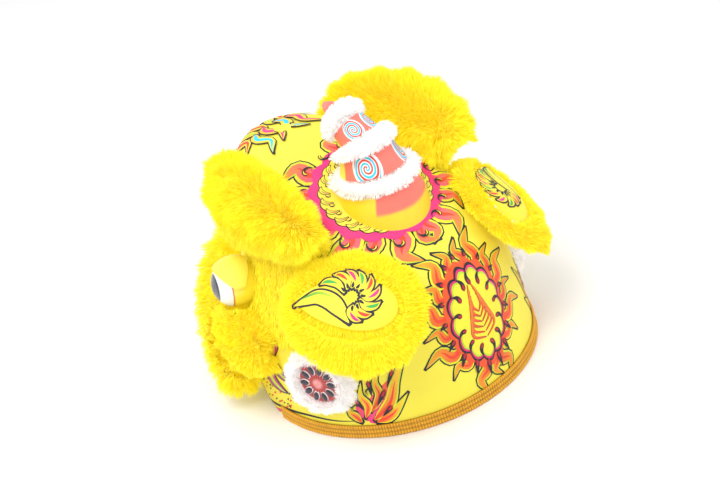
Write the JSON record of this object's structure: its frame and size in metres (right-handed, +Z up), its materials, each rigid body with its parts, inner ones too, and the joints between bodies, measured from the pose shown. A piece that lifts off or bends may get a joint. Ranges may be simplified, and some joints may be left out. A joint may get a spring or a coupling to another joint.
{
  "type": "lion dance head",
  "caption": "Southern style lion dance head: hollow painted shell, furred brows, cheeks and lips, tiered horn, hinged ears, eyelids and jaw.",
  "frame": {"origin": "middle of the footprint, on the floor that the rim rests on", "axes": "+Z up, the lion faces -Y, its left side is +X"},
  "size_m": [0.6092, 0.6264, 0.5203],
  "materials": {
    "shell": "painted cloth and paper",
    "braid": "ribbed gold braid",
    "coral": "painted cloth",
    "white_fur": "long pile",
    "yellow_fur": "long pile",
    "eye": "painted ball",
    "red": "painted cloth"
  },
  "bodies": {
    "head": {"head_shell": "shell", "rim_band": "braid", "horn_lower": "coral", "horn_middle": "coral", "horn_upper": "coral", "horn_tip": "coral", "horn_trim_lower": "white_fur", "horn_trim_middle": "white_fur", "horn_trim_upper": "white_fur", "brow_left": "yellow_fur", "brow_right": "yellow_fur", "eye_left": "eye", "eye_right": "eye", "cheek_left": "yellow_fur", "cheek_right": "yellow_fur", "gill_fur_left": "white_fur", "gill_fur_right": "white_fur", "gill_disc_left": "coral", "gill_disc_right": "coral", "nose": "coral", "lip_fur": "yellow_fur"},
    "left_ear": {"ear_left": "shell", "ear_fur_left": "yellow_fur"},
    "right_ear": {"ear_right": "shell", "ear_fur_right": "yellow_fur"},
    "left_lid": {"eyelid_left": "shell"},
    "right_lid": {"eyelid_right": "shell"},
    "lower_jaw": {"jaw": "red", "jaw_fur": "yellow_fur", "tongue": "coral"}
  },
  "joints": [
    {"name": "left_ear_lift", "type": "hinge", "parent": "head", "child": "left_ear", "pos_m": [0.23243, 0.08868, 0.25664], "axis": [0.6813, 0.2725, -0.6794], "range_deg": [0, 24]},
    {"name": "right_ear_lift", "type": "hinge", "parent": "head", "child": "right_ear", "pos_m": [-0.23243, 0.08868, 0.25664], "axis": [0.6813, -0.2725, 0.6794], "range_deg": [0, 24]},
    {"name": "left_lid_blink", "type": "hinge", "parent": "head", "child": "left_lid", "pos_m": [0.21132, -0.07148, 0.24317], "axis": [0.4092, 0.9124, 0], "range_deg": [0, 65], "stiffness_Nm_per_rad": 0.01, "springref_deg": -28.65},
    {"name": "right_lid_blink", "type": "hinge", "parent": "head", "child": "right_lid", "pos_m": [-0.21132, -0.07148, 0.24317], "axis": [0.4092, -0.9124, 0], "range_deg": [0, 65], "stiffness_Nm_per_rad": 0.01, "springref_deg": -28.65},
    {"name": "jaw_hinge", "type": "hinge", "parent": "head", "child": "lower_jaw", "pos_m": [0, -0.02637, 0.036], "axis": [-1, 0, 0], "range_deg": [0, 18]}
  ],
  "couplings": [
    {"joint": "right_ear_lift", "follows": "left_ear_lift", "ratio": 1},
    {"joint": "right_lid_blink", "follows": "left_lid_blink", "ratio": 1}
  ]
}
